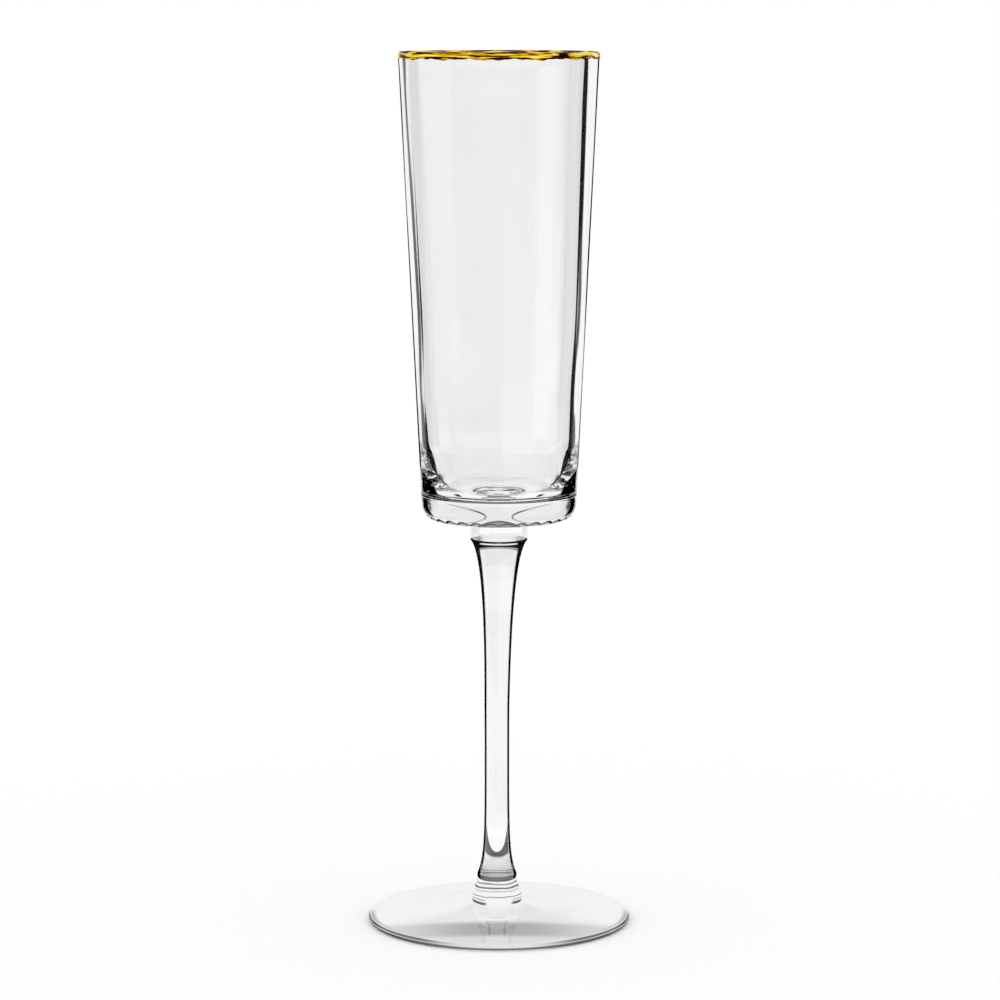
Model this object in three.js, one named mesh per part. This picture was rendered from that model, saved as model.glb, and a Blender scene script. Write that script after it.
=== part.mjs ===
// Champagne flute: a tall tapered glass on a collared stem and a wide foot, with a gold band fired onto its lip.
// Sizes are in millimetres, +Z is up, and the origin is the centre of the plane that the foot rests on.
// Every piece is turned about the Z axis, so a piece is one outline in the (radius, height) half-plane.
// Neighbouring pieces of glass meet at flat round seams, where the hot glass was joined.
import * as THREE from "three";

const RADIAL_SEGMENTS = 48;

// A point of an outline, and the handles of its curves.
const at = (radius, height) => new THREE.Vector2(radius, height);

// ---- Driving dimensions ----
const HEIGHT = 254;

// Bowl, outside
const RIM_RADIUS = 29;
const LIP_ROUND = 1;                   // the lip is a half circle, so the wall there is twice this
const BOWL_BOTTOM = 119;
const BOWL_UNDERSIDE_RADIUS = 18;      // the underside is flat out to here
const BOWL_CORNER_TOP = 123.3;         // the straight taper starts above this rounded corner
const BOWL_CORNER_RADIUS = 22.5;
const BOWL_CORNER_HANDLES = [at(20.4, BOWL_BOTTOM), at(22.4, 121)];

// Bowl, inside: a straight taper that curves in to a flat floor over the heavy base
const BOWL_FLOOR = 126;
const BOWL_FLOOR_RADIUS = 13;
const BOWL_TAPER_BOTTOM = 141;
const BOWL_TAPER_BOTTOM_RADIUS = 21.4;
const BOWL_FLOOR_HANDLES = [at(19.6, 133), at(18.3, BOWL_FLOOR)];

// Gold band
const BAND_THICKNESS = 0.15;
const BAND_OUTSIDE_HEIGHT = 2.4;
const BAND_INSIDE_HEIGHT = 1.6;

// Collar between the bowl and the stem
const BOWL_COLLAR_BOTTOM = 112.8;
const BOWL_COLLAR_RADIUS = 8.55;
const BOWL_COLLAR_SEAM_RADIUS = 7.6;
const BOWL_COLLAR_FILLET = 0.5;

// Stem: flared at both ends, slimmest at the waist
const STEM_TOP = at(8.1, 112.3);
const STEM_TOP_HANDLE = at(3.95, 108.4);
const STEM_WAIST = at(3.6, 51);
const STEM_WAIST_UPPER_HANDLE = at(STEM_WAIST.x, 75.3);
const STEM_WAIST_LOWER_HANDLE = at(STEM_WAIST.x, 27);
const STEM_END = at(5.75, 13.8);
const STEM_END_HANDLE = at(3.55, 18.8);
const STEM_END_ROUND = 0.85;           // the rounded edge under the lower flare

// Collar between the stem and the foot
const FOOT_COLLAR_TOP = 12.2;
const FOOT_COLLAR_SHOULDER = at(5.85, 11.5);
const FOOT_COLLAR_RADIUS = 7.15;
const FOOT_COLLAR_HANDLES = [at(7.35, 7.3), at(6.8, 8.8)];
const FOOT_COLLAR_SEAM_RADIUS = 5.1;

// Foot
const FOOT_PAD_TOP = 5.4;              // the raised centre that the collar is joined to
const FOOT_RADIUS = 38.3;
const FOOT_EDGE_ROUND = 1.1;           // the edge is a half circle, so the foot there is twice this thick
const FOOT_TOP_HANDLES = [at(26, 3.1), at(11.5, 3.6)];
const FOOT_REST_INNER_RADIUS = 31;     // inside this ring the underside is hollow
const FOOT_HOLLOW_DEPTH = 1.6;
const FOOT_HOLLOW_HANDLES = [at(12, FOOT_HOLLOW_DEPTH), at(24, 0.5)];

// ---- Materials ----
const CLEAR_GLASS = new THREE.MeshStandardMaterial({
  name: "clear_glass",
  color: 0xe8eeef,
  roughness: 0.04,
  metalness: 0,
  transparent: true,
  opacity: 0.35,
});
const FIRED_GOLD = new THREE.MeshStandardMaterial({
  name: "fired_gold",
  color: 0xd8a53a,
  roughness: 0.28,
  metalness: 1,
});

// ---- Outline helpers ----
const SMALL_CURVE_STEPS = 3;
const CURVE_STEPS = 8;
const LONG_CURVE_STEPS = 14;

// Points along a circular arc, both ends included. Angles are in degrees from the outward radial direction.
function arc(centre, radius, startAngle, endAngle, steps) {
  const start = THREE.MathUtils.degToRad(startAngle);
  const end = THREE.MathUtils.degToRad(endAngle);
  const clockwise = endAngle < startAngle;
  return new THREE.EllipseCurve(centre.x, centre.y, radius, radius, start, end, clockwise).getPoints(steps);
}

// Points along a cubic Bezier curve, both ends included.
function bezier(start, handles, end, steps) {
  return new THREE.CubicBezierCurve(start, handles[0], handles[1], end).getPoints(steps);
}

// A closed solid turned from an outline that runs up the outside and back down the inside or the axis.
function turned(name, outline, material) {
  const geometry = new THREE.LatheGeometry(outline, RADIAL_SEGMENTS);
  geometry.rotateX(Math.PI / 2);
  const mesh = new THREE.Mesh(geometry, material);
  mesh.name = name;
  return mesh;
}

// ---- The bowl's walls and lip, shared by the bowl and its gold band ----
const LIP_CENTRE = at(RIM_RADIUS - LIP_ROUND, HEIGHT - LIP_ROUND);
const BAND_OUTSIDE_BOTTOM = HEIGHT - BAND_OUTSIDE_HEIGHT;
const BAND_INSIDE_BOTTOM = HEIGHT - BAND_INSIDE_HEIGHT;

function outerWall(height) {
  const slope = (RIM_RADIUS - BOWL_CORNER_RADIUS) / (LIP_CENTRE.y - BOWL_CORNER_TOP);
  return at(BOWL_CORNER_RADIUS + slope * (height - BOWL_CORNER_TOP), height);
}

function innerWall(height) {
  const rimInnerRadius = LIP_CENTRE.x - LIP_ROUND;
  const slope = (rimInnerRadius - BOWL_TAPER_BOTTOM_RADIUS) / (LIP_CENTRE.y - BOWL_TAPER_BOTTOM);
  return at(BOWL_TAPER_BOTTOM_RADIUS + slope * (height - BOWL_TAPER_BOTTOM), height);
}

// The lip's outline from outside to inside, set back into the glass by a depth.
function lip(setBack) {
  const outside = outerWall(BAND_OUTSIDE_BOTTOM);
  const inside = innerWall(BAND_INSIDE_BOTTOM);
  return [
    at(outside.x - setBack, outside.y),
    ...arc(LIP_CENTRE, LIP_ROUND - setBack, 0, 180, CURVE_STEPS),
    at(inside.x + setBack, inside.y),
  ];
}

// ---- Pieces ----
function goldRim() {
  const skin = lip(0);
  const outline = [...skin, ...lip(BAND_THICKNESS).reverse(), skin[0]];
  return turned("gold_rim", outline, FIRED_GOLD);
}

function bowl() {
  const cornerTop = at(BOWL_CORNER_RADIUS, BOWL_CORNER_TOP);
  const taperBottom = at(BOWL_TAPER_BOTTOM_RADIUS, BOWL_TAPER_BOTTOM);
  const outline = [
    at(0, BOWL_BOTTOM),
    ...bezier(at(BOWL_UNDERSIDE_RADIUS, BOWL_BOTTOM), BOWL_CORNER_HANDLES, cornerTop, CURVE_STEPS),
    outerWall(BAND_OUTSIDE_BOTTOM),
    ...lip(BAND_THICKNESS),
    innerWall(BAND_INSIDE_BOTTOM),
    ...bezier(taperBottom, BOWL_FLOOR_HANDLES, at(BOWL_FLOOR_RADIUS, BOWL_FLOOR), CURVE_STEPS),
    at(0, BOWL_FLOOR),
  ];
  return turned("bowl", outline, CLEAR_GLASS);
}

function bowlCollar() {
  const edgeRound = BOWL_COLLAR_RADIUS - BOWL_COLLAR_SEAM_RADIUS;
  const edgeCentre = at(BOWL_COLLAR_SEAM_RADIUS, BOWL_COLLAR_BOTTOM + edgeRound);
  const filletCentre = at(BOWL_COLLAR_RADIUS + BOWL_COLLAR_FILLET, BOWL_BOTTOM - BOWL_COLLAR_FILLET);
  const outline = [
    at(0, BOWL_COLLAR_BOTTOM),
    ...arc(edgeCentre, edgeRound, -90, 0, SMALL_CURVE_STEPS),
    ...arc(filletCentre, BOWL_COLLAR_FILLET, 180, 90, SMALL_CURVE_STEPS),
    at(0, BOWL_BOTTOM),
  ];
  return turned("bowl_collar", outline, CLEAR_GLASS);
}

function stem() {
  const endCentre = at(STEM_END.x - STEM_END_ROUND, FOOT_COLLAR_TOP + STEM_END_ROUND);
  const lowerHandles = [STEM_END_HANDLE, STEM_WAIST_LOWER_HANDLE];
  const upperHandles = [STEM_WAIST_UPPER_HANDLE, STEM_TOP_HANDLE];
  const outline = [
    at(0, FOOT_COLLAR_TOP),
    ...arc(endCentre, STEM_END_ROUND, -90, 0, SMALL_CURVE_STEPS),
    ...bezier(STEM_END, lowerHandles, STEM_WAIST, CURVE_STEPS),
    ...bezier(STEM_WAIST, upperHandles, STEM_TOP, LONG_CURVE_STEPS).slice(1),
    at(BOWL_COLLAR_SEAM_RADIUS, BOWL_COLLAR_BOTTOM),
    at(0, BOWL_COLLAR_BOTTOM),
  ];
  return turned("stem", outline, CLEAR_GLASS);
}

function footCollar() {
  const bottom = at(FOOT_COLLAR_RADIUS, FOOT_PAD_TOP);
  const outline = [
    at(0, FOOT_PAD_TOP),
    ...bezier(bottom, FOOT_COLLAR_HANDLES, FOOT_COLLAR_SHOULDER, CURVE_STEPS),
    at(FOOT_COLLAR_SEAM_RADIUS, FOOT_COLLAR_TOP),
    at(0, FOOT_COLLAR_TOP),
  ];
  return turned("foot_collar", outline, CLEAR_GLASS);
}

function foot() {
  const edgeCentre = at(FOOT_RADIUS - FOOT_EDGE_ROUND, FOOT_EDGE_ROUND);
  const edgeTop = at(edgeCentre.x, edgeCentre.y + FOOT_EDGE_ROUND);
  const padEdge = at(FOOT_COLLAR_RADIUS, FOOT_PAD_TOP);
  const restInner = at(FOOT_REST_INNER_RADIUS, 0);
  const outline = [
    ...bezier(at(0, FOOT_HOLLOW_DEPTH), FOOT_HOLLOW_HANDLES, restInner, CURVE_STEPS),
    ...arc(edgeCentre, FOOT_EDGE_ROUND, -90, 90, CURVE_STEPS),
    ...bezier(edgeTop, FOOT_TOP_HANDLES, padEdge, CURVE_STEPS).slice(1),
    at(0, FOOT_PAD_TOP),
  ];
  return turned("foot", outline, CLEAR_GLASS);
}

const flute = new THREE.Group();
flute.name = "champagne_flute";
flute.add(goldRim(), bowl(), bowlCollar(), stem(), footCollar(), foot());

export default flute;
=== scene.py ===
"""Looks for the champagne flute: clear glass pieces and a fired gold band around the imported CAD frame.

Blender works in metres. Outlines, and the heights and widths in the glass's materials, are in millimetres,
and MM turns them into metres. +Z is up, the flute stands on z = 0, and its front faces -Y.
"""

import math

import bmesh
import bpy
import numpy as np
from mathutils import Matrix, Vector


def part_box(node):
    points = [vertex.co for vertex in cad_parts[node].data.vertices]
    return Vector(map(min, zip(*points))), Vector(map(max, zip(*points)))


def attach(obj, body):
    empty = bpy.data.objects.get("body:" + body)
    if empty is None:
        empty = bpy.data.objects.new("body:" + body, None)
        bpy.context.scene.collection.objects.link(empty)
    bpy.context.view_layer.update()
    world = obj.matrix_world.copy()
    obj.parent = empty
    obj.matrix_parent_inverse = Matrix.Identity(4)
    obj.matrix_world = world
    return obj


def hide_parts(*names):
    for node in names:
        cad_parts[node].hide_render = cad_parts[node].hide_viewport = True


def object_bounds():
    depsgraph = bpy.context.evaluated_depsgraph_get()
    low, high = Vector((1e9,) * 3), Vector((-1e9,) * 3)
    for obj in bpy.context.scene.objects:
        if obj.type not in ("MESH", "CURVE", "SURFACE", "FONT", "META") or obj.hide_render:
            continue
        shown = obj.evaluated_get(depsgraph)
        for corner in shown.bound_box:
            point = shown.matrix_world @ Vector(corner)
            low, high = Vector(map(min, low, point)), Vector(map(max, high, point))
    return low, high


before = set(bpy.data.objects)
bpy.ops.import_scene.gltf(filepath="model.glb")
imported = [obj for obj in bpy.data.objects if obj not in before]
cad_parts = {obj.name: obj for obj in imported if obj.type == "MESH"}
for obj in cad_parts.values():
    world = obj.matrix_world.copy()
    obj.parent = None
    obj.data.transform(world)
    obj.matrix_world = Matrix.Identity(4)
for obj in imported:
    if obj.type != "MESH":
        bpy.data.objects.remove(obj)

MM = 0.001
TURN = 2 * math.pi
CAD_LOW, CAD_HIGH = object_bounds()

# ---- Camera: just above the rim, tilted down along the flute ----
CAMERA_DISTANCE = 1.055
CAMERA_ABOVE_RIM = 0.0129
CAMERA_TILT = math.radians(7.685)
CAMERA_ASIDE = 0.0003
LENS_MM, SENSOR_MM = 131.9, 36.0


def make_camera():
    data = bpy.data.cameras.new("camera")
    data.lens = LENS_MM
    data.sensor_width = SENSOR_MM
    camera = bpy.data.objects.new("camera", data)
    camera.location = (CAMERA_ASIDE, -CAMERA_DISTANCE, CAD_HIGH.z + CAMERA_ABOVE_RIM)
    camera.rotation_euler = (math.pi / 2 - CAMERA_TILT, 0, 0)
    bpy.context.scene.collection.objects.link(camera)
    bpy.context.scene.camera = camera


make_camera()

# ---- Driving sizes, in millimetres. Heights come from the frame ----
HEIGHT = CAD_HIGH.z / MM
RIM_RADIUS = 29.0
LIP_INSIDE = 26.2
LIP_ROUND = 1.0
LIP_HEIGHT = HEIGHT - LIP_ROUND
BOWL_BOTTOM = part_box("bowl")[0].z / MM
FLOOR_HEIGHT = BOWL_BOTTOM + 7.0
CORNER = (22.5, BOWL_BOTTOM + 5.5)
PANELS = 30
COLLAR_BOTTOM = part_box("bowl_collar")[0].z / MM + 0.5
COLLAR_RADIUS, COLLAR_SEAM_RADIUS, COLLAR_FILLET = 8.55, 7.6, 0.5
STEM_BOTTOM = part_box("stem")[0].z / MM
STEM_END_RADIUS, STEM_END_ROUND = 5.75, 0.85
STEM_SEAM_RADIUS = STEM_END_RADIUS - STEM_END_ROUND
STEM_LEAN = -0.6
PAD_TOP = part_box("foot")[1].z / MM
PAD_RADIUS = 7.15
FOOT_RADIUS, FOOT_EDGE_ROUND = 38.3, 1.1


# ---- Node helpers ----
class Tree:
    """A node tree that is being filled, with short ways to add and join nodes."""

    def __init__(self, owner):
        owner.use_nodes = True
        self.tree = owner.node_tree
        self.tree.nodes.clear()

    def add(self, kind, **settings):
        node = self.tree.nodes.new(kind)
        for name, value in settings.items():
            setattr(node, name, value)
        return node

    def feed(self, socket, value):
        """Joins an output to an input, or sets the input to a plain value."""
        if isinstance(value, bpy.types.NodeSocket):
            self.tree.links.new(value, socket)
        else:
            socket.default_value = value

    def feed_named(self, node, **values):
        """Feeds inputs by name, with _ for a space."""
        for name, value in values.items():
            self.feed(node.inputs[name.replace("_", " ")], value)

    def finish(self, kind, shader):
        output = self.add(kind)
        self.feed(output.inputs["Surface"], shader)

    def maths(self, operation, *values):
        node = self.add("ShaderNodeMath", operation=operation)
        for socket, value in zip(node.inputs, values):
            self.feed(socket, value)
        return node.outputs[0]

    def product(self, first, *others):
        for other in others:
            first = self.maths("MULTIPLY", first, other)
        return first

    def largest(self, first, *others):
        for other in others:
            first = self.maths("MAXIMUM", first, other)
        return first

    def inverse(self, value):
        return self.maths("SUBTRACT", 1.0, value)

    def distance(self, value, centre):
        return self.maths("ABSOLUTE", self.maths("SUBTRACT", value, centre))

    def squared(self, value):
        return self.maths("MULTIPLY", value, value)

    def ramp(self, value, start, end, low=0.0, high=1.0):
        """A smooth step from low to high as value goes from start to end."""
        node = self.add("ShaderNodeMapRange", interpolation_type="SMOOTHSTEP")
        self.feed_named(node, Value=value, From_Min=start, From_Max=end, To_Min=low, To_Max=high)
        return node.outputs["Result"]

    def fall(self, value, start, end, level=1.0):
        """A smooth step from a level down to 0."""
        return self.ramp(value, start, end, level, 0.0)

    def band(self, value, centre, half, soft, level=1.0):
        """A level within half of the centre, which fades to 0 over a soft distance past it."""
        return self.fall(self.distance(value, centre), half, half + soft, level)

    def blend(self, factor, colour_a, colour_b):
        """Colour a where the factor is 0, and colour b where it is 1."""
        node = self.add("ShaderNodeMix", data_type="RGBA")
        colours = [socket for socket in node.inputs if socket.type == "RGBA"]
        for socket, value in zip((node.inputs[0], *colours), (factor, colour_a, colour_b)):
            self.feed(socket, value)
        return next(socket for socket in node.outputs if socket.type == "RGBA")

    def mix_shaders(self, factor, shader_a, shader_b):
        node = self.add("ShaderNodeMixShader")
        for socket, value in zip(node.inputs, (factor, shader_a, shader_b)):
            self.feed(socket, value)
        return node.outputs[0]

    def noise(self, vector, scale, detail=2.0):
        node = self.add("ShaderNodeTexNoise")
        self.feed_named(node, Vector=vector, Scale=scale, Detail=detail)
        return node.outputs["Fac"]

    def stretched(self, vector, scale):
        node = self.add("ShaderNodeMapping")
        self.feed_named(node, Vector=vector, Scale=scale)
        return node.outputs["Vector"]

    def xyz(self, vector):
        node = self.add("ShaderNodeSeparateXYZ")
        self.feed(node.inputs[0], vector)
        return node.outputs

    def length(self, vector):
        node = self.add("ShaderNodeVectorMath", operation="LENGTH")
        self.feed(node.inputs[0], vector)
        return node.outputs["Value"]

    def bump(self, height, strength, distance):
        node = self.add("ShaderNodeBump")
        self.feed_named(node, Height=height, Strength=strength, Distance=distance)
        return node.outputs["Normal"]

    def is_back(self):
        """1 where a surface is met from inside the glass."""
        return self.add("ShaderNodeNewGeometry").outputs["Backfacing"]

    def is_near(self):
        """1 where a surface is met from outside the glass."""
        return self.inverse(self.is_back())

    def is_sharp_ray(self):
        """1 for a ray that glass has reflected or let through."""
        path = self.add("ShaderNodeLightPath").outputs
        return self.largest(path["Is Glossy Ray"], path["Is Transmission Ray"])


# ---- Studio: white panels with dark gaps between them, and a dim ceiling. Angles are in degrees ----
# A panel has its middle, turned about Z from +Y toward -X, how far off the middle it is white and from where
# it is dark, its lowest and highest elevation, and its brightness. NO_TOP is past straight up. The back wall
# behind the flute reaches all the way down, and is a little less bright from a low to a high elevation.
NO_TOP = 95
WALL_PANELS = (
    (98, 22, 28, -10.5, 6, 1.0),
    (-135, 36, 44, -34, -7.6, 1.0),
    (90, 11, 15, -34, -10, 1.0),
    (-90, 11, 15, -34, -10, 1.0),
    (45, 30, 38, -34, -17, 1.0),
    (180, 60, 75, 5, NO_TOP, 1.0),
    (180, 72, 84, -12, -1, 0.6),
)
PANEL_SOFT = 0.5
BACK_WALL = (0, 48, 56)
BACK_WALL_LOW, BACK_WALL_LOW_LIGHT = 1, 0.94
BACK_WALL_HIGH, BACK_WALL_HIGH_LIGHT = 3, 0.86
CEILING_START, CEILING_SOFT, CEILING_LIGHT = 19, 2, 0.35
MATT_LIGHT = 1.12


def make_world():
    """A world that is plain white to the camera, and a studio of white panels to rays from the glass."""
    world = bpy.data.worlds.new("studio")
    bpy.context.scene.world = world
    t = Tree(world)
    x, y, z = t.xyz(t.add("ShaderNodeTexCoord").outputs["Generated"])
    turn = t.maths("ARCTAN2", t.maths("MULTIPLY", x, -1.0), y)
    elevation = t.maths("ARCSINE", z)

    def above(angle, soft=PANEL_SOFT):
        return t.ramp(elevation, math.radians(angle - soft), math.radians(angle + soft))

    def across(middle, white, dark):
        off = t.maths("WRAP", t.maths("SUBTRACT", turn, math.radians(middle)), math.pi, -math.pi)
        return t.fall(t.maths("ABSOLUTE", off), math.radians(white), math.radians(dark))

    tone = t.ramp(
        elevation, math.radians(BACK_WALL_LOW), math.radians(BACK_WALL_HIGH),
        BACK_WALL_LOW_LIGHT, BACK_WALL_HIGH_LIGHT,
    )
    walls = t.product(across(*BACK_WALL), tone)
    for middle, white, dark, lowest, highest, light in WALL_PANELS:
        panel = t.product(across(middle, white, dark), above(lowest), t.inverse(above(highest)), light)
        walls = t.largest(walls, panel)
    ceiling = above(CEILING_START, CEILING_SOFT)
    room = t.maths("ADD", t.product(walls, t.inverse(ceiling)), t.product(ceiling, CEILING_LIGHT))

    path = t.add("ShaderNodeLightPath").outputs
    is_matt = t.maths("GREATER_THAN", path["Diffuse Depth"], 0.5)
    is_studio = t.product(t.is_sharp_ray(), t.inverse(is_matt))
    light = t.maths("ADD", t.product(is_studio, room), path["Is Camera Ray"])
    light = t.maths("ADD", light, t.product(is_matt, MATT_LIGHT))
    background = t.add("ShaderNodeBackground")
    t.feed_named(background, Color=(1, 1, 1, 1), Strength=light)
    t.finish("ShaderNodeOutputWorld", background.outputs[0])


# ---- Floor, in metres. The glass shows it as a painted glow, with painted shadows near the foot ----
# Here and below, a pair of values is where a change starts and where it ends.
FLOOR_RADIUS = 3.0
FLOOR_DROP = 0.00005
FLOOR_SEGMENTS = 96
FLOOR_COLOUR = (0.9, 0.9, 0.9, 1)
NEAR_FLOOR = (0.1, 0.11)
# The painted light and painted shadows of the floor's glow, as the glass sees it.
UNDER_FOOT_LIGHT = 0.92
FRONT_SHADE = 0.46
FRONT_SHADE_START = (-0.013, -0.0185)
FRONT_SHADE_END = (-0.026, -0.031)
FRONT_SHADE_PAST_END = 0.3
FRONT_SHADE_MIDDLE = (0.006, 0.03)
FRONT_SHADE_ASIDE = 0.4
EDGE_SHADE = 0.9
EDGE_SHADE_RADII = (0.0355, 0.0375)
EDGE_SHADE_FRONT = (0.008, -0.006)
PAST_FOOT = (0.041, 0.048)
BEHIND_SHADE = 0.9
BEHIND_SHADE_TURN = (0.7, 0.9)
BEHIND_SHADE_REACH = 0.056
BEHIND_SHADE_SPREAD = 0.09
BEHIND_SHADE_SOFT = (-0.001, 0.002)


def floor_painted_light_and_shadow(t, place):
    """How bright the glass shows the floor, as a painted glow: painted shadows under the foot's front and
    edge, and behind the foot.
    """
    x, y = t.xyz(place)[:2]
    from_axis = t.length(place)
    front = t.product(
        t.ramp(y, *FRONT_SHADE_START),
        t.ramp(y, *FRONT_SHADE_END, 1.0, FRONT_SHADE_PAST_END),
        t.ramp(t.maths("ABSOLUTE", x), *FRONT_SHADE_MIDDLE, 1.0, FRONT_SHADE_ASIDE),
    )
    under_foot = t.maths("MULTIPLY_ADD", front, -FRONT_SHADE, UNDER_FOOT_LIGHT)
    edge = t.product(t.ramp(from_axis, *EDGE_SHADE_RADII), t.ramp(y, *EDGE_SHADE_FRONT))
    under_foot = t.product(under_foot, t.maths("MULTIPLY_ADD", edge, -EDGE_SHADE, 1.0))
    turn = t.maths("ARCTAN2", x, y)
    reach = t.maths("MULTIPLY_ADD", t.squared(turn), BEHIND_SHADE_SPREAD, BEHIND_SHADE_REACH)
    is_past = t.ramp(t.maths("SUBTRACT", from_axis, reach), *BEHIND_SHADE_SOFT)
    behind = t.product(t.fall(t.maths("ABSOLUTE", turn), *BEHIND_SHADE_TURN), t.inverse(is_past))
    past_foot = t.maths("MULTIPLY_ADD", behind, -BEHIND_SHADE, 1.0)
    return t.ramp(from_axis, *PAST_FOOT, under_foot, past_foot)


def floor_material():
    """Matt white. A ray from the glass sees it as a painted glow with painted shadows near the flute, and
    sees through it farther out.
    """
    material = bpy.data.materials.new("floor_white")
    t = Tree(material)
    diffuse = t.add("ShaderNodeBsdfDiffuse")
    t.feed_named(diffuse, Color=FLOOR_COLOUR)
    clear = t.add("ShaderNodeBsdfTransparent")
    place = t.add("ShaderNodeNewGeometry").outputs["Position"]
    glow = t.add("ShaderNodeEmission")
    t.feed_named(glow, Strength=floor_painted_light_and_shadow(t, place))
    is_far = t.ramp(t.length(place), *NEAR_FLOOR)
    seen_in_glass = t.mix_shaders(is_far, glow.outputs[0], clear.outputs[0])
    shader = t.mix_shaders(t.is_sharp_ray(), diffuse.outputs[0], seen_in_glass)
    t.finish("ShaderNodeOutputMaterial", shader)
    return material


def make_floor():
    mesh = bpy.data.meshes.new("floor")
    build = bmesh.new()
    bmesh.ops.create_circle(build, cap_ends=True, segments=FLOOR_SEGMENTS, radius=FLOOR_RADIUS)
    build.to_mesh(mesh)
    build.free()
    floor = bpy.data.objects.new("floor", mesh)
    floor.location.z = CAD_LOW.z - FLOOR_DROP
    mesh.materials.append(floor_material())
    bpy.context.scene.collection.objects.link(floor)


make_world()
make_floor()

# ---- Glass ----
CLEAR = (0.99, 0.995, 0.993, 1)
# The colour of the painted shade on the glass.
PAINTED_SHADE_COLOUR = (0.0004, 0.0004, 0.0004, 1)
GLASS_IOR = 1.5
STRAIGHT_IOR = 1.0
COLLAR_IOR = 1.12
STRAIGHTENS = (0.4, 0.9)
DRAWN_STRETCH = (1.0, 1.0, 0.12)
DRAWN_SCALE, DRAWN_DETAIL = 90.0, 1.0
DRAWN_WAVES, FOOT_WAVES = 0.03, 0.02
DRAWN_DEPTH = 0.001


def clear_glass(name, edge=None, waves=DRAWN_WAVES, alpha=1.0, ior=GLASS_IOR):
    """Clear glass with faint waves along Z.

    edge takes the node tree, the facing value, the height in millimetres and the place, and gives how dark
    a surface is painted: painted shade that stands for thick glass in front of a dark room, where it is seen
    side on. Where it is painted dark it doesn't bend light, so that no bright reflection covers the line.
    """
    material = bpy.data.materials.new(name)
    t = Tree(material)
    shader = t.add("ShaderNodeBsdfPrincipled")
    t.feed_named(shader, Base_Color=CLEAR, Roughness=0.0, IOR=ior, Transmission_Weight=1.0, Alpha=alpha)
    place = t.add("ShaderNodeTexCoord").outputs["Object"]
    if edge is not None:
        weight = t.add("ShaderNodeLayerWeight")
        t.feed_named(weight, Blend=0.5)
        height = t.maths("DIVIDE", t.xyz(place)[2], MM)
        # Painted shade: the glass colour turns dark where edge says so.
        painted_shade = edge(t, weight.outputs["Facing"], height, place)
        t.feed_named(shader, Base_Color=t.blend(painted_shade, CLEAR, PAINTED_SHADE_COLOUR))
        t.feed_named(shader, IOR=t.ramp(painted_shade, *STRAIGHTENS, ior, STRAIGHT_IOR))
    drawn = t.noise(t.stretched(place, DRAWN_STRETCH), DRAWN_SCALE, DRAWN_DETAIL)
    t.feed_named(shader, Normal=t.bump(drawn, waves, DRAWN_DEPTH))
    t.finish("ShaderNodeOutputMaterial", shader.outputs[0])
    return material


# Where the stem's painted shade lies: its sides, its joint with the collar, and its lower end.
STEM_SIDE = (0.42, 0.5)
STEM_SIDE_LOW = (STEM_BOTTOM + 3.2, STEM_BOTTOM + 5.0)
STEM_SIDE_LOW_DARK = 0.95
JOINT_UPPER = (COLLAR_BOTTOM - 0.55, COLLAR_BOTTOM - 0.45)
JOINT_UPPER_SIDE = (0.0, 0.01)
JOINT_LOWER_TOP = (COLLAR_BOTTOM - 1.0, COLLAR_BOTTOM - 0.9)
JOINT_LOWER_START, JOINT_LOWER_SPREAD = COLLAR_BOTTOM - 1.05, 2.6
END_CONE = (STEM_BOTTOM + 1.7, STEM_BOTTOM + 5.8)
END_CONE_LOW_DARK, END_CONE_HIGH_DARK = 0.72, 0.25
END_CONE_TOP = (STEM_BOTTOM + 6.4, STEM_BOTTOM + 7.8)


def stem_painted_shade(t, facing, height, place):
    """Painted shade: dark down both sides, two dark lines where the stem joins the collar, and grey toward
    its lower end.
    """
    upper = t.product(t.ramp(height, *JOINT_UPPER), t.ramp(facing, *JOINT_UPPER_SIDE))
    lower_start = t.maths("MULTIPLY_ADD", facing, -JOINT_LOWER_SPREAD, JOINT_LOWER_START)
    lower = t.product(t.maths("GREATER_THAN", height, lower_start), t.fall(height, *JOINT_LOWER_TOP))
    side = t.product(t.ramp(facing, *STEM_SIDE), t.ramp(height, *STEM_SIDE_LOW, STEM_SIDE_LOW_DARK, 1.0))
    cone = t.ramp(height, *END_CONE, END_CONE_LOW_DARK, END_CONE_HIGH_DARK)
    cone = t.product(cone, t.fall(height, *END_CONE_TOP))
    return t.product(t.largest(side, upper, lower, cone), t.is_near())


STEM_END_DARK = (0.955, 0.975)
STEM_END_SIDE = (0.0, 0.5)


def stem_end_painted_shade(t, facing, height, place):
    """Painted shade, grey all round, a little darker toward the sides."""
    return t.product(t.is_near(), t.ramp(facing, *STEM_END_SIDE, *STEM_END_DARK))


# The bowl's wall painted dark as painted shade, by how nearly side on it is seen. It widens into a wedge
# beside the bowl's floor.
WALL_SIDE, WALL_UNEVEN, WALL_SOFT = 0.8, 0.3, 0.05
WALL_NOISE, WALL_NOISE_STRETCH = 45.0, (1.0, 1.0, 0.35)
WEDGE_LOW_SIDE, WEDGE_HIGH_SIDE = 0.34, 0.5
WEDGE = (FLOOR_HEIGHT + 0.5, FLOOR_HEIGHT + 7.5)
WEDGE_TO_WALL = (FLOOR_HEIGHT + 5.0, FLOOR_HEIGHT + 9.5)
BASE_SIDE = 0.585
BASE_TO_WEDGE = (FLOOR_HEIGHT - 0.2, FLOOR_HEIGHT + 0.1)
BASE_STREAK_END = (BOWL_BOTTOM + 1.0, BOWL_BOTTOM + 3.5)
LOW_WALL = (FLOOR_HEIGHT + 5.0, FLOOR_HEIGHT + 10.0)
BRIGHT_RIM_SIDE = (0.76, 0.85)
FLOOR_GAP_START = (FLOOR_HEIGHT, FLOOR_HEIGHT + 0.2)
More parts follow.
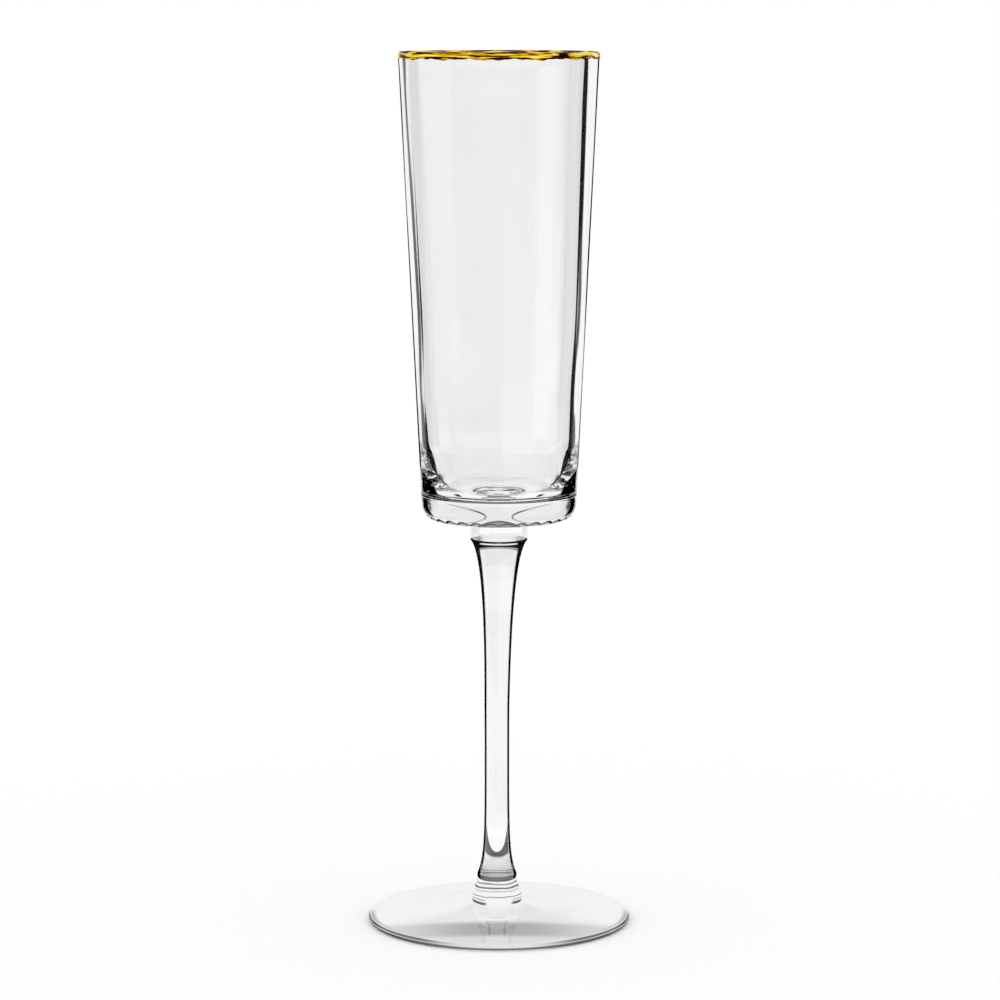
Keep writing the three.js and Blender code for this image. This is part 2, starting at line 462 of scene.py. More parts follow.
FLOOR_GAP_END = (FLOOR_HEIGHT + 1.6, FLOOR_HEIGHT + 1.9)
FLECK_NOISE, FLECK_STRETCH, FLECK_LEVEL = 520.0, (1.0, 1.0, 2.0), (0.63, 0.68)
FLECKS_START = (FLOOR_HEIGHT + 1.0, FLOOR_HEIGHT + 2.0)


def bowl_wall_painted_shade(t, facing, height, place):
    """Painted shade: a thin line along the wall, a flecked wedge beside the floor, and a streak down the
    base's side.
    """
    uneven = t.noise(t.stretched(place, WALL_NOISE_STRETCH), WALL_NOISE, 1.0)
    wall_side = t.maths("MULTIPLY_ADD", t.maths("SUBTRACT", uneven, 0.5), WALL_UNEVEN, WALL_SIDE)
    wedge_side = t.ramp(height, *WEDGE, WEDGE_LOW_SIDE, WEDGE_HIGH_SIDE)
    past_wedge = t.maths("SUBTRACT", wall_side, WEDGE_HIGH_SIDE)
    wedge_side = t.maths("MULTIPLY_ADD", past_wedge, t.ramp(height, *WEDGE_TO_WALL), wedge_side)
    start = t.ramp(height, *BASE_TO_WEDGE, BASE_SIDE, wedge_side)
    is_low = t.fall(height, *LOW_WALL)
    bright_rim = t.product(is_low, t.ramp(facing, *BRIGHT_RIM_SIDE))
    floor_gap = t.product(t.ramp(height, *FLOOR_GAP_START), t.fall(height, *FLOOR_GAP_END))
    flecks = t.ramp(t.noise(t.stretched(place, FLECK_STRETCH), FLECK_NOISE), *FLECK_LEVEL)
    flecks = t.product(flecks, is_low, t.ramp(height, *FLECKS_START))
    return t.product(
        t.ramp(facing, start, t.maths("ADD", start, WALL_SOFT)),
        t.inverse(bright_rim),
        t.ramp(height, *BASE_STREAK_END),
        t.inverse(floor_gap),
        t.inverse(flecks),
    )


# Painted shade lines drawn round the base of the bowl and on its front. The arch and the fold are curves:
# each has its height or width at the middle, and how much that changes with the square of the distance from
# there.
SCALLOP_LINE, SCALLOP_RISE = BOWL_BOTTOM + 0.6, 0.8
SCALLOP_HALF, SCALLOP_SOFT, SCALLOP_DARK = 0.2, 0.2, 0.98
ARCH_TOP, ARCH_CURVE, ARCH_HALF_WIDTH = SCALLOP_LINE + 1.9, 0.05, 6.0
ARCH_EDGE = (-0.05, 0.15)
ARCH_INSIDE = (-0.9, -0.2)
ARCH_INSIDE_DARK = (0.86, 0.975)
FOLD_WAIST, FOLD_HALF_WIDTH, FOLD_CURVE = BOWL_BOTTOM + 3.6, 3.8, 1.1
FOLD_SOFT, FOLD_DARK = (0.1, 0.3), 0.62
FOLD_END = (FLOOR_HEIGHT - 0.4, FLOOR_HEIGHT - 0.1)
LOWER_RING, LOWER_RING_HALF, LOWER_RING_SOFT, LOWER_RING_DARK = FLOOR_HEIGHT + 0.65, 0.15, 0.17, 0.95
UPPER_RING, UPPER_RING_HALF, UPPER_RING_SOFT, UPPER_RING_DARK = FLOOR_HEIGHT + 1.7, 0.12, 0.16, 0.9
UPPER_RING_ENDS = (14.0, 19.0)


def base_painted_shade_lines(t, height, place):
    """Painted shade lines: the base's scalloped lower edge, the arch and fold on its front, and two rings at
    the bowl's floor.
    """
    x_metres, y_metres = t.xyz(place)[:2]
    x = t.maths("DIVIDE", x_metres, MM)
    aside = t.maths("ABSOLUTE", x)
    is_front = t.maths("LESS_THAN", y_metres, 0.0)
    turn = t.maths("ARCTAN2", x_metres, y_metres)
    wave = t.maths("ABSOLUTE", t.maths("SINE", t.maths("MULTIPLY", turn, PANELS / 2)))
    scallop_line = t.maths("MULTIPLY_ADD", wave, SCALLOP_RISE, SCALLOP_LINE)
    scallop = t.band(height, scallop_line, SCALLOP_HALF, SCALLOP_SOFT, SCALLOP_DARK)
    above_arch = t.maths("SUBTRACT", height, t.maths("MULTIPLY_ADD", t.squared(x), -ARCH_CURVE, ARCH_TOP))
    arch = t.product(
        t.ramp(above_arch, *ARCH_INSIDE, *ARCH_INSIDE_DARK), t.fall(above_arch, *ARCH_EDGE),
        is_front, t.maths("LESS_THAN", aside, ARCH_HALF_WIDTH),
    )
    from_waist = t.maths("SUBTRACT", height, FOLD_WAIST)
    fold_line = t.maths("MULTIPLY_ADD", t.squared(from_waist), FOLD_CURVE, FOLD_HALF_WIDTH)
    slope = t.maths("MULTIPLY_ADD", t.maths("ABSOLUTE", from_waist), 2 * FOLD_CURVE, 1.0)
    fold = t.fall(t.maths("DIVIDE", t.distance(aside, fold_line), slope), *FOLD_SOFT, FOLD_DARK)
    fold = t.product(fold, is_front, t.fall(height, *FOLD_END))
    lower_ring = t.band(height, LOWER_RING, LOWER_RING_HALF, LOWER_RING_SOFT, LOWER_RING_DARK)
    upper_ring = t.band(height, UPPER_RING, UPPER_RING_HALF, UPPER_RING_SOFT, UPPER_RING_DARK)
    upper_ring = t.product(upper_ring, t.fall(aside, *UPPER_RING_ENDS))
    return t.largest(scallop, arch, fold, lower_ring, upper_ring)


# Painted shade on the outside of the bowl: its wall and the lines round its base.
def bowl_outer_painted_shade(t, facing, height, place):
    dark = t.largest(bowl_wall_painted_shade(t, facing, height, place), base_painted_shade_lines(t, height, place))
    return t.product(dark, t.is_near())


INNER_FROM_AIR = (0.76, 0.83)
INNER_START, INNER_START_SOFT = 0.235, 0.008
INNER_END, INNER_END_SOFT = 0.26, 0.01
INNER_THICK = 0.018
INNER_THICK_START = (FLOOR_HEIGHT + 7.0, FLOOR_HEIGHT + 11.0)
INNER_THICK_END = (FLOOR_HEIGHT + 14.0, FLOOR_HEIGHT + 30.0)
INNER_LINE_START = (FLOOR_HEIGHT + 4.0, FLOOR_HEIGHT + 5.0)
INNER_LOW_SIDE = (0.55, 0.68)
INNER_LOW_START = (FLOOR_HEIGHT + 0.05, FLOOR_HEIGHT + 0.2)


def bowl_inner_painted_shade(t, facing, height, place):
    """Painted shade: a line where the inside of the wall turns side on, thicker lower down, and dark round
    the floor.
    """
    thick = t.product(t.ramp(height, *INNER_THICK_START), t.fall(height, *INNER_THICK_END, INNER_THICK))
    start = t.maths("SUBTRACT", INNER_START, t.maths("MULTIPLY", thick, 0.5))
    end = t.maths("ADD", INNER_END, thick)
    from_glass = t.product(
        t.ramp(facing, start, t.maths("ADD", start, INNER_START_SOFT)),
        t.fall(facing, end, t.maths("ADD", end, INNER_END_SOFT)),
        t.is_back(),
    )
    wall = t.maths("MINIMUM", t.maths("ADD", t.ramp(facing, *INNER_FROM_AIR), from_glass), 1.0)
    wall = t.product(wall, t.ramp(height, *INNER_LINE_START))
    low = t.product(t.ramp(facing, *INNER_LOW_SIDE), t.is_back(), t.ramp(height, *INNER_LOW_START))
    return t.largest(wall, t.product(low, t.fall(height, *INNER_LINE_START)))


# Height, half width, how dark, and from how far off the middle, of the painted shade lines on the foot's
# collar.
COLLAR_LINES = (
    (11.5, 0.1, 0.9, 0.0),
    (10.4, 0.12, 0.96, 0.0),
    (9.5, 0.06, 0.7, 0.0),
    (7.9, 0.07, 0.85, 0.0),
    (6.9, 0.12, 0.7, 4.2),
    (5.95, 0.3, 0.98, 3.9),
)
COLLAR_LINE_SOFT = 0.2
COLLAR_LINE_RAMP = (-0.8, 0.4)
COLLAR_SHAKE, COLLAR_NOISE = 0.9, 260.0


def foot_collar_painted_shade(t, facing, height, place):
    """Uneven painted shade lines where the collar's rings turn under, the lowest of them only toward the
    sides.
    """
    aside = t.maths("ABSOLUTE", t.maths("DIVIDE", t.xyz(place)[0], MM))
    uneven = t.maths("MULTIPLY_ADD", t.noise(place, COLLAR_NOISE), COLLAR_SHAKE, -COLLAR_SHAKE / 2)
    shaken = t.maths("ADD", height, uneven)
    lines = 0.0
    for line_height, half, dark, off_middle in COLLAR_LINES:
        ring = t.band(shaken, line_height, half, COLLAR_LINE_SOFT, dark)
        if off_middle > 0:
            ring = t.product(ring, t.ramp(aside, *(off_middle + step for step in COLLAR_LINE_RAMP)))
        lines = t.largest(lines, ring)
    return t.product(lines, t.is_near())


RIM_LOWER, RIM_LOWER_HALF, RIM_LOWER_WIDER, RIM_LOWER_SOFT, RIM_LOWER_DARK = 0.5, 0.2, 0.25, 0.22, 0.95
RIM_UPPER, RIM_UPPER_HALF, RIM_UPPER_SOFT, RIM_UPPER_DARK = 1.55, 0.22, 0.18, 0.95
RIM_TO_SIDE = (6.0, 24.0)
IMAGE_WAIST, IMAGE_HALF_WIDTH, IMAGE_CURVE = -26.0, 2.1, 0.013
IMAGE_HALF, IMAGE_SOFT, IMAGE_DARK = 0.1, 0.4, 0.5
IMAGE_START = (-16.5, -20.0)
IMAGE_END = (-30.0, -32.0)
# Faint patches of painted shade round the foot's collar.
FOOT_SHADE_NOISE, FOOT_SHADE_DETAIL, FOOT_SHADE_STRETCH = 110.0, 3.0, (0.6, 1.4, 1.0)
FOOT_SHADE_LEVEL, FOOT_SHADE_DARK = (0.45, 0.75), 0.16
FOOT_SHADE_START = (8.0, 11.0)
FOOT_SHADE_END = (20.0, 27.0)


def foot_painted_shade(t, facing, height, place):
    """Painted shade and a painted image: a dark line round the rim, wider toward the sides, where a second
    one lies above it, faint patches of painted shade round the collar, and the two sides of the stem's image,
    painted in the front of the foot."""
    x_metres, y_metres = t.xyz(place)[:2]
    x = t.maths("DIVIDE", x_metres, MM)
    y = t.maths("DIVIDE", y_metres, MM)
    to_side = t.ramp(t.maths("ABSOLUTE", x), *RIM_TO_SIDE)
    half = t.maths("MULTIPLY_ADD", to_side, RIM_LOWER_WIDER, RIM_LOWER_HALF)
    from_lower = t.distance(height, RIM_LOWER)
    lower = t.fall(from_lower, half, t.maths("ADD", half, RIM_LOWER_SOFT), RIM_LOWER_DARK)
    upper = t.band(height, RIM_UPPER, RIM_UPPER_HALF, RIM_UPPER_SOFT, RIM_UPPER_DARK)
    from_axis = t.maths("DIVIDE", t.length(place), MM)
    # Faint patches of painted shade round the collar.
    shade_patches = t.noise(t.stretched(place, FOOT_SHADE_STRETCH), FOOT_SHADE_NOISE, FOOT_SHADE_DETAIL)
    shade_patches = t.ramp(shade_patches, *FOOT_SHADE_LEVEL, 0.0, FOOT_SHADE_DARK)
    shade_patches = t.product(shade_patches, t.ramp(from_axis, *FOOT_SHADE_START), t.fall(from_axis, *FOOT_SHADE_END))
    aside = t.distance(x, STEM_LEAN)
    from_waist = t.maths("SUBTRACT", y, IMAGE_WAIST)
    image_line = t.maths("MULTIPLY_ADD", t.squared(from_waist), IMAGE_CURVE, IMAGE_HALF_WIDTH)
    # The two sides of the stem's image, painted dark in the front of the foot.
    image = t.band(aside, image_line, IMAGE_HALF, IMAGE_SOFT, IMAGE_DARK)
    image = t.product(image, t.ramp(y, *IMAGE_START), t.fall(y, *IMAGE_END))
    return t.product(t.largest(lower, t.product(upper, to_side), shade_patches, image), t.is_near())


def fused_seam():
    """The flat seam where two pieces of hot glass became one: nothing to see."""
    material = bpy.data.materials.new("fused_seam")
    t = Tree(material)
    shader = t.add("ShaderNodeBsdfPrincipled")
    t.feed_named(shader, Alpha=0.0)
    t.finish("ShaderNodeOutputMaterial", shader.outputs[0])
    return material


# ---- Gold ----
# Where each colour lies in the streaks, which are painted reflections in the gold's colour.
GOLD_AND_REFLECTION_COLOURS = (
    (0.36, (0.015, 0.002, 0.0005, 1)),
    (0.43, (0.17, 0.03, 0.001, 1)),
    (0.48, (0.6, 0.19, 0.001, 1)),
    (0.53, (1.0, 0.5, 0.003, 1)),
    (0.62, (1.0, 0.78, 0.012, 1)),
    (0.78, (1.0, 0.95, 0.2, 1)),
)
STREAK_NOISE, STREAK_DETAIL, STREAK_STRETCH = 150.0, 3.0, (1.0, 1.0, 12.0)
STREAK_CONTRAST, STREAK_OFFSET = 1.8, -0.4
CREST_START = (0.1, 0.5)
CREST_END = (1.1, 1.9)
CREST_LIGHT, CREST_OFFSET = 0.2, -0.13
GOLD_METALLIC, GOLD_SPECULAR = 0.4, 0.02
GOLD_DULL, GOLD_BRIGHT = (0.3, 0.7), (0.4, 0.22)
GOLD_BUMP, GOLD_BUMP_DEPTH = 0.3, 0.0003


def fired_gold():
    """Brushed-on gold with painted reflections in its colour: streaks from black to bright yellow, and a
    painted highlight on the crest.
    """
    material = bpy.data.materials.new("fired_gold")
    t = Tree(material)
    place = t.add("ShaderNodeTexCoord").outputs["Object"]
    streaks = t.noise(t.stretched(place, STREAK_STRETCH), STREAK_NOISE, STREAK_DETAIL)
    streaks = t.maths("MULTIPLY_ADD", streaks, STREAK_CONTRAST, STREAK_OFFSET)
    below_top = t.maths("SUBTRACT", HEIGHT, t.maths("DIVIDE", t.xyz(place)[2], MM))
    # A painted highlight along the crest of the band.
    crest = t.product(t.ramp(below_top, *CREST_START), t.fall(below_top, *CREST_END))
    streaks = t.maths("ADD", streaks, t.maths("MULTIPLY_ADD", crest, CREST_LIGHT, CREST_OFFSET))
    colours = t.add("ShaderNodeValToRGB")
    steps = colours.color_ramp.elements
    steps[0].position, steps[0].color = GOLD_AND_REFLECTION_COLOURS[0]
    steps[1].position, steps[1].color = GOLD_AND_REFLECTION_COLOURS[-1]
    for position, colour in GOLD_AND_REFLECTION_COLOURS[1:-1]:
        steps.new(position).color = colour
    t.feed(colours.inputs[0], streaks)
    shader = t.add("ShaderNodeBsdfPrincipled")
    t.feed_named(shader, Metallic=GOLD_METALLIC, Specular_IOR_Level=GOLD_SPECULAR)
    t.feed_named(shader, Base_Color=colours.outputs["Color"])
    t.feed_named(shader, Roughness=t.ramp(streaks, *GOLD_DULL, *GOLD_BRIGHT))
    t.feed_named(shader, Normal=t.bump(streaks, GOLD_BUMP, GOLD_BUMP_DEPTH))
    t.finish("ShaderNodeOutputMaterial", shader.outputs[0])
    return material


BOWL_OUTSIDE = clear_glass("bowl_outside", edge=bowl_outer_painted_shade, waves=0.0)
BOWL_INSIDE = clear_glass("bowl_inside", edge=bowl_inner_painted_shade, waves=0.0)
COLLAR_GLASS = clear_glass("collar_glass", alpha=0.25)
STEM_GLASS = clear_glass("stem_glass", edge=stem_painted_shade)
STEM_END = clear_glass("stem_end", edge=stem_end_painted_shade)
FOOT_COLLAR_GLASS = clear_glass("foot_collar_glass", edge=foot_collar_painted_shade, ior=COLLAR_IOR)
FOOT_GLASS = clear_glass("foot_glass", edge=foot_painted_shade, waves=FOOT_WAVES)
UNDERSIDE = clear_glass("foot_underside", ior=STRAIGHT_IOR)
SEAM = fused_seam()
GOLD = fired_gold()


# ---- Outlines, in millimetres: (radius, height) ----
SAME_POINT = 1e-6


def bezier(start, handle_a, handle_b, end, steps):
    t = np.linspace(0, 1, steps + 1)[:, None]
    a, b, c, d = (np.array(p, float) for p in (start, handle_a, handle_b, end))
    return (1 - t) ** 3 * a + 3 * (1 - t) ** 2 * t * b + 3 * (1 - t) * t * t * c + t ** 3 * d


def arc(centre, radius, start, end, steps):
    """An arc from one angle to another, in degrees."""
    angle = np.radians(np.linspace(start, end, steps + 1))
    return np.stack([centre[0] + radius * np.cos(angle), centre[1] + radius * np.sin(angle)], -1)


def line(start, end, steps):
    return np.linspace(start, end, steps + 1)


def joined(*runs):
    """One outline from several runs, without the points that two runs share."""
    points = np.concatenate([np.atleast_2d(run) for run in runs])
    keep = np.r_[True, np.linalg.norm(np.diff(points, axis=0), axis=1) > SAME_POINT]
    return points[keep]


# ---- Turned pieces ----
SEGMENTS = 256
FINE_SEGMENTS = 360
ON_AXIS = 1e-9
ON_SEAM = 1e-4


def turned_vertices(outline, segments, shape):
    """The vertices, in millimetres, and each outline point's ring of them. On the axis it is one vertex."""
    angles = np.arange(segments) * TURN / segments
    radius, height = outline[:, 0][:, None], outline[:, 1][:, None]
    x, y = radius * np.cos(angles), radius * np.sin(angles)
    z = height + 0 * x
    if shape is not None:
        x, y, z = shape(radius, height, angles[None, :], x, y, z)
    vertices, rings = [], []
    for i, (point_radius, _) in enumerate(outline):
        if point_radius < ON_AXIS:
            rings.append([len(vertices)] * segments)
            vertices.append((x[i, 0], y[i, 0], z[i, 0]))
        else:
            rings.append(list(range(len(vertices), len(vertices) + segments)))
            vertices.extend(zip(x[i], y[i], z[i]))
    return vertices, rings


def is_seam(run, seams):
    """Whether a stretch of outline lies in one of the seams."""
    for seam_height, seam_radius in seams:
        if abs(run[:, 1] - seam_height).max() < ON_SEAM and run[:, 0].max() < seam_radius + ON_SEAM:
            return True
    return False


def turned(name, outline, node, materials, seams=(), shape=None, segments=SEGMENTS, pick=None):
    """A closed piece turned about the Z axis, whose faces take the first material unless it says otherwise.

    Each seam is the height and radius of a flat face that is fused to a neighbour, and takes the second
    material. pick gives the place in materials of any other face, from its radius and height. shape moves
    the vertices.
    """
    vertices, rings = turned_vertices(outline, segments, shape)
    faces = []
    for lower, upper in zip(rings, rings[1:]):
        for j in range(segments):
            k = (j + 1) % segments
            corners = (lower[j], lower[k], upper[k], upper[j])
            faces.append(tuple(dict.fromkeys(corners)))
    mesh = bpy.data.meshes.new(name)
    mesh.from_pydata([tuple(c * MM for c in v) for v in vertices], [], faces)
    for material in materials:
        mesh.materials.append(material)
    build = bmesh.new()
    build.from_mesh(mesh)
    build.faces.index_update()
    for face in build.faces:
        face.smooth = True
        first = face.index // segments
        run = outline[first:first + 2]
        if is_seam(run, seams):
            face.material_index = 1
        elif pick is not None:
            face.material_index = pick(*run.mean(axis=0))
    for edge in build.edges:
        if len({face.material_index for face in edge.link_faces}) > 1:
            edge.smooth = False
    build.to_mesh(mesh)
    build.free()
    piece = bpy.data.objects.new(name, mesh)
    bpy.context.scene.collection.objects.link(piece)
    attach(piece, "root")
    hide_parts(node)
    return piece


# ---- Bowl ----
TAPER_BOTTOM = (21.3, BOWL_BOTTOM + 22.0)
INNER_NECK = (LIP_INSIDE - 0.1, HEIGHT - 5.0)
UNDER_RADIUS = 18.0
FLAT_FLOOR_RADIUS = 13.0
GOLD_THICKNESS = 0.15
BAND_OUTSIDE, BAND_INSIDE = 2.4, 1.6
LIP_STEPS = 20
PANEL_TURN = TURN / PANELS
PANEL_FADE_BELOW_RIM = 12.0
PANEL_FADE_RADIUS, PANEL_FADE_START = 15.0, 0.6
INNER_PANEL_DEPTH, OUTER_PANEL_DEPTH = 0.025, 0.015
BASE_PANEL_DEPTH, BASE_PANEL_HEIGHT = 0.35, 3.0
MIDDLE_OF_WALL = 1.0
SHIFT_HIGH, SHIFT_HIGH_START, SHIFT_HIGH_RUN = 0.8, 180.0, 60.0
SHIFT_MIDDLE, SHIFT_MIDDLE_HEIGHT, SHIFT_MIDDLE_SPREAD = 0.5, 156.0, 12.0
SHIFT_WALL = 2.6


def lip(inset):
    """The rounded top of the wall, from its outside to its inside, set in by a distance."""
    angle = np.linspace(0, math.pi, LIP_STEPS + 1)
    middle = (RIM_RADIUS + LIP_INSIDE) / 2
    half = (RIM_RADIUS - LIP_INSIDE) / 2 - inset
    return np.stack([middle + half * np.cos(angle), LIP_HEIGHT + (LIP_ROUND - inset) * np.sin(angle)], -1)


def bowl_outline():
    under = (UNDER_RADIUS, BOWL_BOTTOM)
    floor_edge = (FLAT_FLOOR_RADIUS, FLOOR_HEIGHT)
    return joined(
        (0, BOWL_BOTTOM),
        line((COLLAR_RADIUS + COLLAR_FILLET, BOWL_BOTTOM), under, 6),
        bezier(under, (20.7, BOWL_BOTTOM), (22.42, BOWL_BOTTOM + 2), CORNER, 24),
        line(CORNER, (RIM_RADIUS - GOLD_THICKNESS, LIP_HEIGHT), 60),
        lip(GOLD_THICKNESS),
        line((LIP_INSIDE + GOLD_THICKNESS, LIP_HEIGHT), INNER_NECK, 4),
        line(INNER_NECK, TAPER_BOTTOM, 56),
        bezier(TAPER_BOTTOM, (19.6, BOWL_BOTTOM + 14), (18.3, FLOOR_HEIGHT), floor_edge, 28),
        line(floor_edge, (0, FLOOR_HEIGHT), 10),
    )


def fluting(angles):
    """1 along the middle of each optic panel, and 0 along the ridges between them."""
    off = (angles + math.pi / 2 + PANEL_TURN / 2) % PANEL_TURN - PANEL_TURN / 2
    return 1 - (off / (PANEL_TURN / 2)) ** 2


def outer_radius(height):
    return np.interp(height, (CORNER[1], LIP_HEIGHT), (CORNER[0], RIM_RADIUS))


def is_inside(radius, height):
    """Whether a place on the bowl's outline is on the inside of the wall."""
    return (height > FLOOR_HEIGHT - 0.01) & (radius < outer_radius(height) - MIDDLE_OF_WALL)


def off_centre(radius, height):
    """How far the inside stands to one side of the outside: it is blown, so the wall isn't quite even."""
    high = np.clip((height - SHIFT_HIGH_START) / SHIFT_HIGH_RUN, 0, 1)
    middle = np.exp(-(((height - SHIFT_MIDDLE_HEIGHT) / SHIFT_MIDDLE_SPREAD) ** 2))
    depth = np.clip((outer_radius(height) - radius) / SHIFT_WALL, 0, 1)
    return -(SHIFT_HIGH * high + SHIFT_MIDDLE * middle) * depth * (height > FLOOR_HEIGHT)


def shaped_bowl(radius, height, angles, x, y, z):
    """Optic panels on both sides of the wall, deepest round the base, and an inside a little off centre."""
    inside = is_inside(radius, height)
    fade = np.clip((HEIGHT - height) / PANEL_FADE_BELOW_RIM, 0, 1)
    fade = fade * np.clip(radius / PANEL_FADE_RADIUS - PANEL_FADE_START, 0, 1)
    low = np.clip((BOWL_BOTTOM + BASE_PANEL_HEIGHT - height) / BASE_PANEL_HEIGHT, 0, 1) ** 2
    depth = np.where(inside, INNER_PANEL_DEPTH, OUTER_PANEL_DEPTH + BASE_PANEL_DEPTH * low) * fade
    cut = depth * fluting(angles)
    scale = (radius - np.where(inside, -cut, cut)) / np.maximum(radius, ON_AXIS)
    return x * scale + off_centre(radius, height), y * scale, z


def bowl_material(radius, height):
    return 2 if is_inside(radius, height) else 0


def make_bowl():
    turned(
        "bowl_glass", bowl_outline(), "bowl", (BOWL_OUTSIDE, SEAM, BOWL_INSIDE),
        seams=[(BOWL_BOTTOM, COLLAR_RADIUS + COLLAR_FILLET)],
        shape=shaped_bowl, segments=FINE_SEGMENTS, pick=bowl_material,
    )


def make_bowl_collar():
    """The collar under the bowl, rounded below, with a small fillet where it meets the bowl."""
    edge_round = COLLAR_RADIUS - COLLAR_SEAM_RADIUS
    outline = joined(
        (0, COLLAR_BOTTOM),
        arc((COLLAR_SEAM_RADIUS, COLLAR_BOTTOM + edge_round), edge_round, -90, 0, 10),
        arc((COLLAR_RADIUS + COLLAR_FILLET, BOWL_BOTTOM - COLLAR_FILLET), COLLAR_FILLET, 180, 90, 8),
        (0, BOWL_BOTTOM),
    )
    turned(
        "bowl_collar_glass", outline, "bowl_collar", (COLLAR_GLASS, SEAM),
        seams=[(COLLAR_BOTTOM, COLLAR_SEAM_RADIUS), (BOWL_BOTTOM, COLLAR_RADIUS + COLLAR_FILLET)],
    )


# ---- Stem ----
LEAN_RUN = 50.0
STEM_END_TOP = (STEM_END_RADIUS, 13.8)
STEM_WAIST = (3.6, 51.0)
STEM_FLARE = (8.35, COLLAR_BOTTOM - 0.2)
STEM_END_HEIGHT = 1.3


def leaning(radius, height, angles, x, y, z):
    """The stem and the foot's collar stand a little to one side of the bowl's middle."""
    return x + STEM_LEAN * np.clip((COLLAR_BOTTOM - height) / LEAN_RUN, 0, 1), y, z


def stem_material(radius, height):
    return 2 if height < STEM_BOTTOM + STEM_END_HEIGHT else 0


def make_stem():
    outline = joined(
        (0, STEM_BOTTOM),
        arc((STEM_SEAM_RADIUS, STEM_BOTTOM + STEM_END_ROUND), STEM_END_ROUND, -90, 0, 10),
        bezier(STEM_END_TOP, (3.55, 18.8), (3.6, 27), STEM_WAIST, 40),
        bezier(STEM_WAIST, (3.6, 75.3), (3.95, 108.2), STEM_FLARE, 56),
        (COLLAR_SEAM_RADIUS, COLLAR_BOTTOM),
        (0, COLLAR_BOTTOM),
    )
    turned(
        "stem_glass", outline, "stem", (STEM_GLASS, SEAM, STEM_END),
        seams=[(STEM_BOTTOM, STEM_SEAM_RADIUS), (COLLAR_BOTTOM, COLLAR_SEAM_RADIUS)],
        shape=leaning, pick=stem_material,
    )


# ---- Collar over the foot, and the foot ----
FOOT_COLLAR_TOP = (5.85, 11.5)
RIPPLES, RIPPLE_DEPTH = 3, 0.14
RIPPLE_START = 1.0
HOLLOW_DEPTH = 0.7
REST_RADIUS = 31.0
SLOPE_START = (18.0, 3.85)
UNDERSIDE_RADIUS, UNDERSIDE_HEIGHT = 36.0, 0.75


def make_foot_collar():
    """The collar over the foot, which spreads downward in soft ripples."""
    side = bezier((PAD_RADIUS, PAD_TOP), (7.35, 7.3), (6.8, 8.8), FOOT_COLLAR_TOP, 48)
    above_pad = side[:, 1] - PAD_TOP
    ripple = np.sin(above_pad / (FOOT_COLLAR_TOP[1] - PAD_TOP) * RIPPLES * TURN) * RIPPLE_DEPTH
    side[:, 0] += ripple * np.clip(above_pad / RIPPLE_START, 0, 1)
    outline = joined((0, PAD_TOP), side, (STEM_SEAM_RADIUS, STEM_BOTTOM), (0, STEM_BOTTOM))
    turned(
        "foot_collar_glass", outline, "foot_collar", (FOOT_COLLAR_GLASS, SEAM),
        seams=[(PAD_TOP, PAD_RADIUS), (STEM_BOTTOM, STEM_SEAM_RADIUS)], shape=leaning,
    )


def foot_material(radius, height):
    return 2 if height < UNDERSIDE_HEIGHT and radius < UNDERSIDE_RADIUS else 0


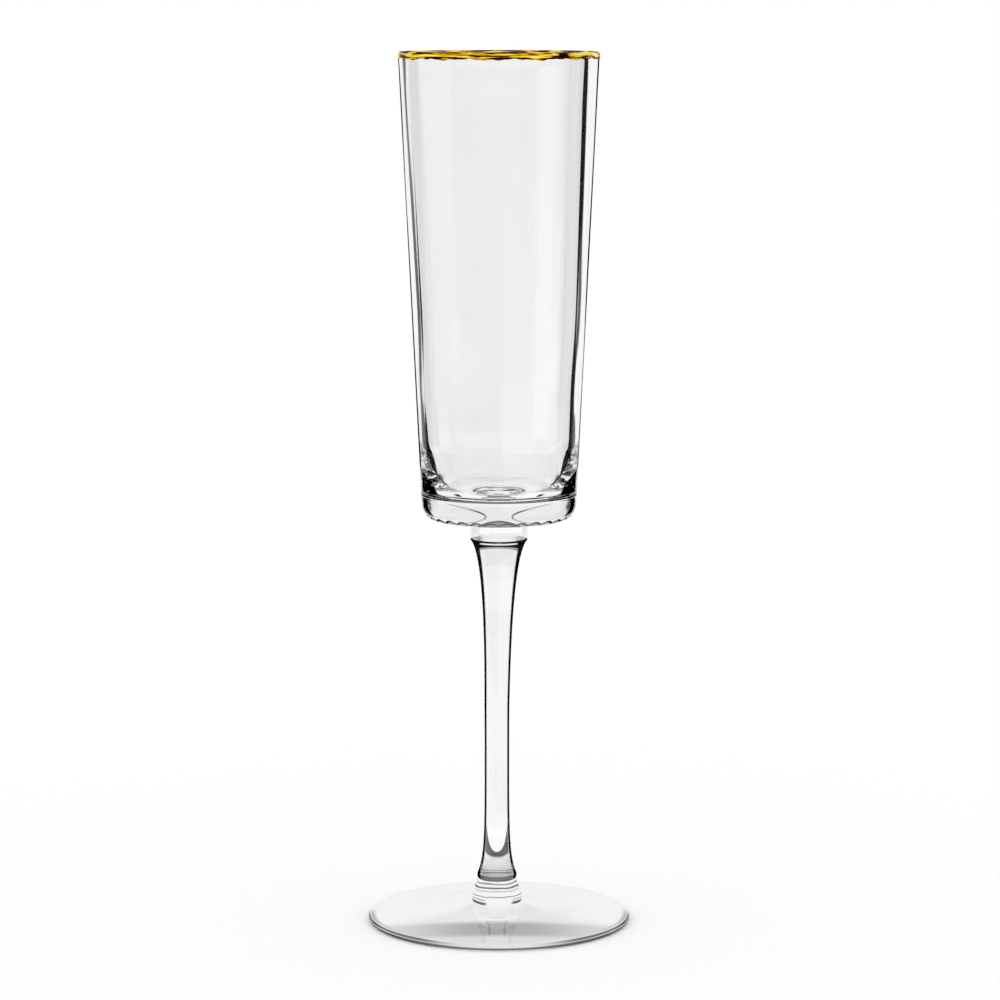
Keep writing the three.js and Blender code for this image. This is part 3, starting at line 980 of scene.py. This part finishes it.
def make_foot():
    edge_centre = (FOOT_RADIUS - FOOT_EDGE_ROUND, FOOT_EDGE_ROUND)
    edge_top = (edge_centre[0], 2 * FOOT_EDGE_ROUND)
    outline = joined(
        bezier((0, HOLLOW_DEPTH), (12, HOLLOW_DEPTH), (22, HOLLOW_DEPTH / 2), (REST_RADIUS, 0), 30),
        arc(edge_centre, FOOT_EDGE_ROUND, -90, 90, 20),
        line(edge_top, SLOPE_START, 20),
        bezier(SLOPE_START, (13, 4.28), (9, 4.5), (PAD_RADIUS, PAD_TOP), 24),
        (0, PAD_TOP),
    )
    turned(
        "foot_glass", outline, "foot", (FOOT_GLASS, SEAM, UNDERSIDE),
        seams=[(PAD_TOP, PAD_RADIUS)], pick=foot_material,
    )


# ---- Gold band ----
SKIN_INSET, SKIN_DEPTH = 0.005, 0.12
BAND_EDGE_RADIUS, BAND_SHOULDER = 28.9, (28.95, HEIGHT - 1.7)
BAND_DEPTH = 0.1
INNER_SKIN, INNER_UNDER = LIP_INSIDE + 0.02, LIP_INSIDE + 0.12
BRUSH_EDGE_BELOW_TOP = 2.0
BRUSH_WAVES = ((13, 0.16, 1.0), (31, 0.12, 2.3), (57, 0.09, 0.4))


def band_side(depth, inset, inner_radius):
    """One face of the gold, from its lower edge outside, over the lip, to its lower edge inside."""
    return joined(
        (BAND_EDGE_RADIUS - depth, HEIGHT - BAND_OUTSIDE),
        (BAND_SHOULDER[0] - depth, BAND_SHOULDER[1]),
        lip(inset),
        (inner_radius, HEIGHT - BAND_INSIDE),
    )


def wavy_band(radius, height, angles, x, y, z):
    """The lower edge of the gold rises and falls a little, as paint put on by hand."""
    wave = sum(size * (1 + np.sin(count * angles + start)) for count, size, start in BRUSH_WAVES)
    is_edge = height < HEIGHT - BRUSH_EDGE_BELOW_TOP
    return x + off_centre(radius, height), y, z + np.where(is_edge, wave, 0)


def make_gold_band():
    skin = band_side(0.0, SKIN_INSET, INNER_SKIN)
    under = band_side(BAND_DEPTH, SKIN_DEPTH, INNER_UNDER)
    outline = np.concatenate([skin, under[::-1], skin[:1]])
    turned(
        "gold_rim_band", outline, "gold_rim", (GOLD,),
        shape=wavy_band, segments=FINE_SEGMENTS,
    )


make_bowl()
make_bowl_collar()
make_stem()
make_foot_collar()
make_foot()
make_gold_band()

# ---- Rendering look ----
GLASS_BOUNCES, CLEAR_BOUNCES = 64, 32
scene = bpy.context.scene
scene.view_settings.view_transform = "Standard"
scene.view_settings.look = "None"
scene.cycles.max_bounces = GLASS_BOUNCES
scene.cycles.transmission_bounces = GLASS_BOUNCES
scene.cycles.glossy_bounces = GLASS_BOUNCES
scene.cycles.transparent_max_bounces = CLEAR_BOUNCES
